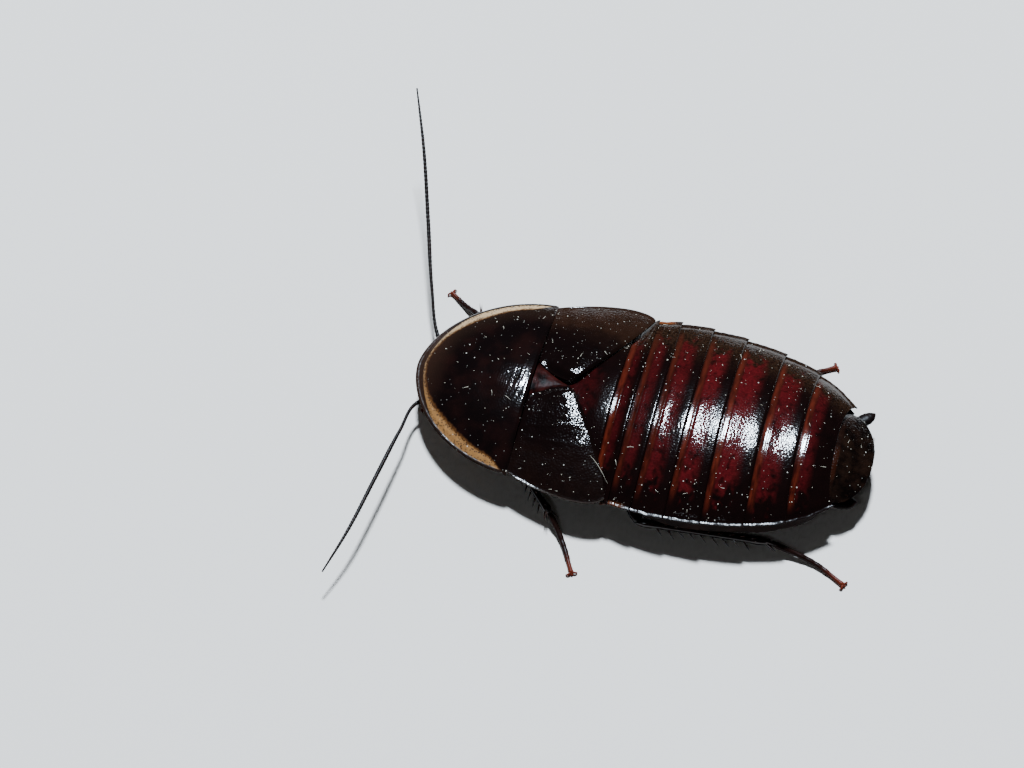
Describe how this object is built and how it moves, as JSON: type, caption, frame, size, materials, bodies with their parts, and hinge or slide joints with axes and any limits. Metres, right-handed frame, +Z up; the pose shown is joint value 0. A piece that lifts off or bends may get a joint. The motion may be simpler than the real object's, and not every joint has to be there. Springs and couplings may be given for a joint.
{
  "type": "hemiblabera brunneri, a short-winged ground cockroach, as a still life-size museum model",
  "caption": "Broad, flat, short-winged cockroach at rest on its belly and feet: shield-like pronotum, stubby wing covers, plated abdomen, long antennae.",
  "frame": {"origin": "on the ground plane, in the middle of the belly plate of the fifth abdominal segment, which rests on it", "axes": "+Z up, -X towards the head, -Y towards the animal's left side"},
  "size_m": [0.051, 0.0504, 0.0097],
  "materials": {
    "pronotum_shield": "glossy blackish brown with a pale tan band along the front and sides",
    "thorax_cuticle": "glossy dark reddish brown",
    "tergite_cuticle": "glossy dark red in the middle, black at the sides, an orange red stripe along each front edge",
    "wing_cover": "leathery blackish brown, finely pitted, duller and browner along the outer field",
    "head_cuticle": "glossy blackish brown",
    "dark_plate": "glossy black, finely grained",
    "limb_cuticle": "glossy dark brown",
    "foot_cuticle": "reddish brown, satin",
    "antenna_cuticle": "dark brown, ringed, satin",
    "compound_eye": "black, glossy, finely faceted"
  },
  "bodies": {
    "root": {"pronotum": "pronotum_shield", "prothorax": "limb_cuticle", "mesothorax": "thorax_cuticle", "metathorax": "tergite_cuticle", "head": "head_cuticle", "supra_anal_plate": "dark_plate", "subgenital_plate": "dark_plate", "abdomen_segment_1": "tergite_cuticle", "abdomen_segment_2": "tergite_cuticle", "abdomen_segment_3": "tergite_cuticle", "abdomen_segment_4": "tergite_cuticle", "abdomen_segment_5": "tergite_cuticle", "abdomen_segment_6": "tergite_cuticle", "abdomen_segment_7": "tergite_cuticle", "tegmen_left": "wing_cover", "eye_left": "compound_eye", "antenna_left": "antenna_cuticle", "maxillary_palp_left": "limb_cuticle", "labial_palp_left": "limb_cuticle", "cercus_left": "dark_plate", "tegmen_right": "wing_cover", "eye_right": "compound_eye", "antenna_right": "antenna_cuticle", "maxillary_palp_right": "limb_cuticle", "labial_palp_right": "limb_cuticle", "cercus_right": "dark_plate", "coxa_front_left": "limb_cuticle", "femur_front_left": "limb_cuticle", "tibia_front_left": "limb_cuticle", "tarsus_front_left": "foot_cuticle", "coxa_front_right": "limb_cuticle", "femur_front_right": "limb_cuticle", "tibia_front_right": "limb_cuticle", "tarsus_front_right": "foot_cuticle", "coxa_mid_left": "limb_cuticle", "femur_mid_left": "limb_cuticle", "tibia_mid_left": "limb_cuticle", "tarsus_mid_left": "foot_cuticle", "coxa_mid_right": "limb_cuticle", "femur_mid_right": "limb_cuticle", "tibia_mid_right": "limb_cuticle", "tarsus_mid_right": "foot_cuticle", "coxa_hind_left": "limb_cuticle", "femur_hind_left": "limb_cuticle", "tibia_hind_left": "limb_cuticle", "tarsus_hind_left": "foot_cuticle", "coxa_hind_right": "limb_cuticle", "femur_hind_right": "limb_cuticle", "tibia_hind_right": "limb_cuticle", "tarsus_hind_right": "foot_cuticle"}
  },
  "joints": []
}
